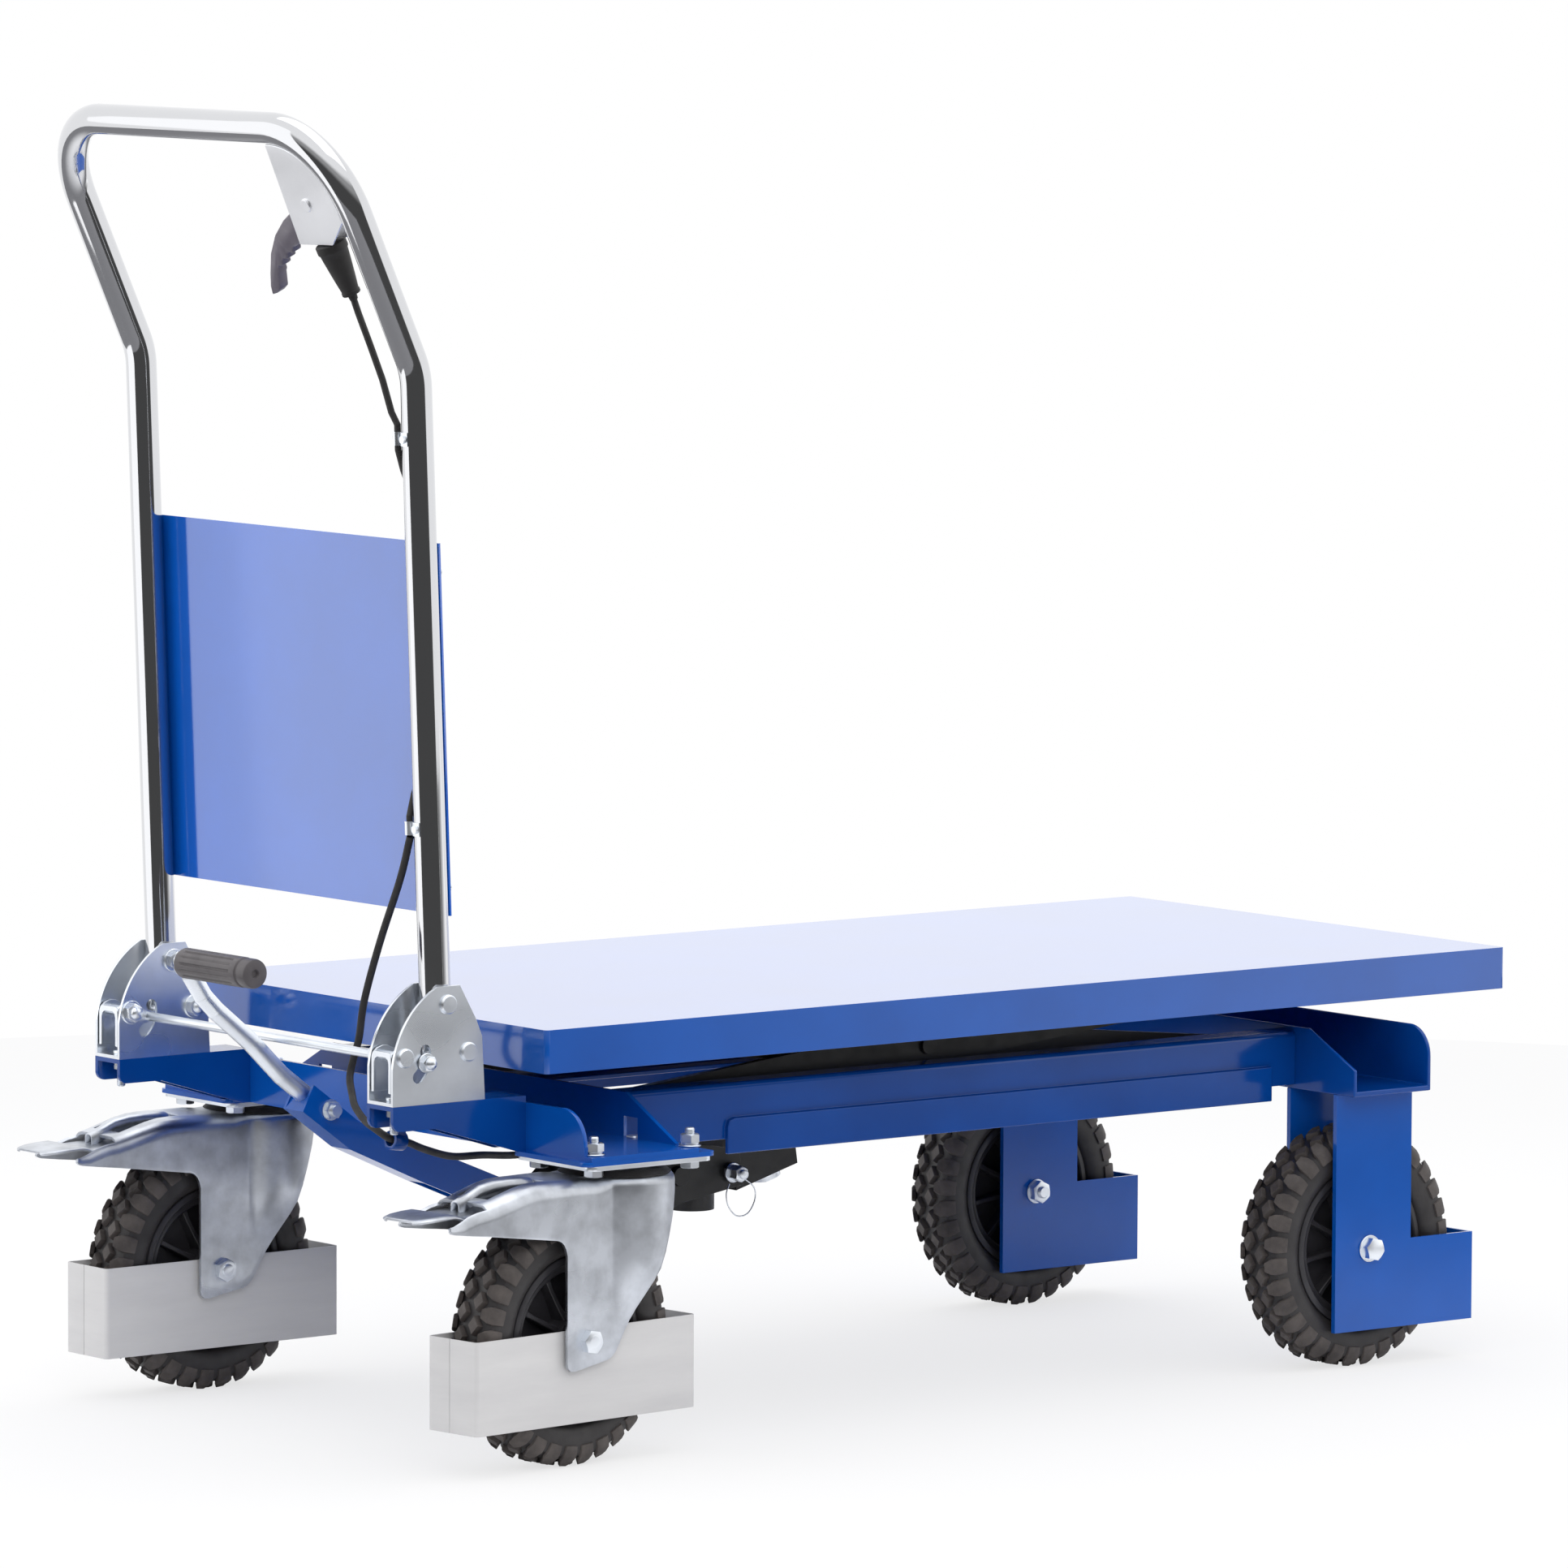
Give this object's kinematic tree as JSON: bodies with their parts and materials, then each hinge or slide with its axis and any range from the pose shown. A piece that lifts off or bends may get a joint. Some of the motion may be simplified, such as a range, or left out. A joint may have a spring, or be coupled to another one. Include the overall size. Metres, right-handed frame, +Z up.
{
  "type": "hydraulic scissor lift table cart",
  "caption": "Scissor lift table cart with a sheet metal deck, fold-down handle with release lever, foot pump pedal, swivel casters with brakes, and fixed rear wheels.",
  "frame": {"origin": "centre of the bounding box in X and Y, on the floor the wheels stand on", "axes": "+X away from the handle along the deck, +Y to the left when facing along +X, +Z up"},
  "size_m": [1.3307, 0.6575, 1.1794],
  "materials": {
    "blue_paint": "glossy powder coat",
    "zinc_plate": "bright zinc plated",
    "chrome": "polished",
    "black_paint": "satin",
    "black_plastic": "moulded",
    "black_rubber": "matt",
    "tyre": "matt tread",
    "grey_paint": "satin",
    "machined_steel": "turned"
  },
  "bodies": {
    "frame": {"front_crossbeam": "blue_paint", "rear_crossbeam": "blue_paint", "side_rail_right": "blue_paint", "side_rail_left": "blue_paint", "handle_arms": "blue_paint", "rear_leg_right": "blue_paint", "rear_leg_left": "blue_paint", "handle_bracket_right": "zinc_plate", "handle_bracket_left": "zinc_plate", "bracket_bolts": "zinc_plate", "caster_plates": "zinc_plate", "swivel_seals": "black_rubber", "frame_bolts": "zinc_plate", "base_pins": "machined_steel", "pump_cradle": "black_paint", "pump_body": "black_paint", "lynch_pin": "zinc_plate", "lower_cable": "black_rubber"},
    "handle": {"handle_posts": "chrome", "hand_bar": "chrome", "handle_panel": "blue_paint", "panel_screws": "zinc_plate", "trigger_bracket": "zinc_plate", "cable_boot": "black_rubber", "upper_cable": "black_rubber", "cable_clips": "zinc_plate"},
    "trigger": {"release_lever": "black_plastic"},
    "lock": {"lock_rod": "zinc_plate", "lock_pawls": "zinc_plate"},
    "pedal": {"pedal_arm": "blue_paint", "pedal_tube": "zinc_plate", "pedal_grip": "black_rubber"},
    "plunger": {"pump_plunger": "machined_steel"},
    "outer_scissor": {"outer_arms": "black_paint"},
    "inner_scissor": {"inner_arms": "black_paint"},
    "base_roller_pair": {"base_rollers": "machined_steel"},
    "deck_roller_pair": {"deck_rollers": "machined_steel"},
    "deck": {"platform": "blue_paint", "deck_tracks": "black_paint"},
    "ram": {"ram_barrel": "black_paint", "oil_block": "black_paint", "drain_plug": "zinc_plate"},
    "rod": {"ram_rod": "chrome"},
    "caster_right": {"fork_right": "zinc_plate", "wheel_guard_right": "grey_paint", "axle_bolt_right": "zinc_plate"},
    "brake_right": {"brake_lever_right": "zinc_plate"},
    "wheel_front_right": {"hub_front_right": "black_plastic", "tyre_front_right": "tyre"},
    "wheel_rear_right": {"hub_rear_right": "black_plastic", "tyre_rear_right": "tyre"},
    "caster_left": {"fork_left": "zinc_plate", "wheel_guard_left": "grey_paint", "axle_bolt_left": "zinc_plate"},
    "brake_left": {"brake_lever_left": "zinc_plate"},
    "wheel_front_left": {"hub_front_left": "black_plastic", "tyre_front_left": "tyre"},
    "wheel_rear_left": {"hub_rear_left": "black_plastic", "tyre_rear_left": "tyre"}
  },
  "joints": [
    {"name": "lift", "type": "hinge", "parent": "frame", "child": "outer_scissor", "pos_m": [-0.29265, 0, 0.287], "axis": [0, -1, 0], "range_deg": [0, 44.15]},
    {"name": "scissor_cross", "type": "hinge", "parent": "outer_scissor", "child": "inner_scissor", "pos_m": [0.05553, 0, 0.32265], "axis": [0, -1, 0], "range_deg": [-88.41, 0]},
    {"name": "deck_level", "type": "hinge", "parent": "inner_scissor", "child": "deck", "pos_m": [-0.29265, 0, 0.3583], "axis": [0, -1, 0], "range_deg": [0, 44.2]},
    {"name": "base_roller_spin", "type": "hinge", "parent": "inner_scissor", "child": "base_roller_pair", "pos_m": [0.40371, 0, 0.287], "axis": [0, 1, 0], "continuous": true},
    {"name": "deck_roller_spin", "type": "hinge", "parent": "outer_scissor", "child": "deck_roller_pair", "pos_m": [0.40371, 0, 0.3583], "axis": [0, 1, 0], "continuous": true},
    {"name": "ram_tilt", "type": "hinge", "parent": "frame", "child": "ram", "pos_m": [-0.12765, 0, 0.203], "axis": [0, -1, 0], "range_deg": [0, 47.55]},
    {"name": "ram_extend", "type": "slide", "parent": "ram", "child": "rod", "axis": [0.8973, 0, 0.4413], "range_m": [0, 0.06779]},
    {"name": "handle_fold", "type": "hinge", "parent": "frame", "child": "handle", "pos_m": [-0.52385, 0, 0.405], "axis": [0, -1, 0], "range_deg": [-90, 0], "deforming": ["lower_cable"]},
    {"name": "lock_release", "type": "hinge", "parent": "frame", "child": "lock", "pos_m": [-0.56985, 0, 0.361], "axis": [0, 1, 0], "range_deg": [0, 11], "stiffness_Nm_per_rad": 1.2, "springref_deg": -14.32},
    {"name": "trigger_squeeze", "type": "hinge", "parent": "handle", "child": "trigger", "pos_m": [-0.61323, -0.1536, 1.10267], "axis": [0.9089, 0, 0.4171], "range_deg": [0, 16], "stiffness_Nm_per_rad": 1.5, "springref_deg": -17.19},
    {"name": "pedal_press", "type": "hinge", "parent": "frame", "child": "pedal", "pos_m": [-0.23765, 0, 0.167], "axis": [0, -1, 0], "range_deg": [0, 18], "stiffness_Nm_per_rad": 18, "springref_deg": -25.78},
    {"name": "plunger_stroke", "type": "slide", "parent": "frame", "child": "plunger", "axis": [0, 0, 1], "range_m": [0, 0.01318]},
    {"name": "swivel_right", "type": "hinge", "parent": "frame", "child": "caster_right", "pos_m": [-0.37475, -0.2717, 0.25], "axis": [0, 0, 1], "continuous": true},
    {"name": "brake_press_right", "type": "hinge", "parent": "caster_right", "child": "brake_right", "pos_m": [-0.46327, -0.28094, 0.228], "axis": [0.1038, -0.9946, 0], "range_deg": [0, 6]},
    {"name": "wheel_front_right_spin", "type": "hinge", "parent": "caster_right", "child": "wheel_front_right", "pos_m": [-0.4398, -0.27849, 0.112], "axis": [-0.1038, 0.9946, 0], "continuous": true},
    {"name": "wheel_rear_right_spin", "type": "hinge", "parent": "frame", "child": "wheel_rear_right", "pos_m": [0.49595, -0.2437, 0.112], "axis": [0, 1, 0], "continuous": true},
    {"name": "swivel_left", "type": "hinge", "parent": "frame", "child": "caster_left", "pos_m": [-0.37475, 0.2717, 0.25], "axis": [0, 0, 1], "continuous": true},
    {"name": "brake_press_left", "type": "hinge", "parent": "caster_left", "child": "brake_left", "pos_m": [-0.46374, 0.27071, 0.228], "axis": [0.0112, -0.9999, 0], "range_deg": [0, 6]},
    {"name": "wheel_front_left_spin", "type": "hinge", "parent": "caster_left", "child": "wheel_front_left", "pos_m": [-0.44015, 0.27097, 0.112], "axis": [-0.0112, 0.9999, 0], "continuous": true},
    {"name": "wheel_rear_left_spin", "type": "hinge", "parent": "frame", "child": "wheel_rear_left", "pos_m": [0.49595, 0.2437, 0.112], "axis": [0, 1, 0], "continuous": true}
  ],
  "couplings": [
    {"joint": "scissor_cross", "follows": "lift", "ratio": -2},
    {"joint": "deck_level", "follows": "lift", "ratio": 1},
    {"joint": "ram_tilt", "follows": "lift", "ratio": 1.0747},
    {"joint": "ram_extend", "follows": "lift", "m_per_rad": 0.087573},
    {"joint": "plunger_stroke", "follows": "pedal_press", "m_per_rad": 0.04131}
  ]
}
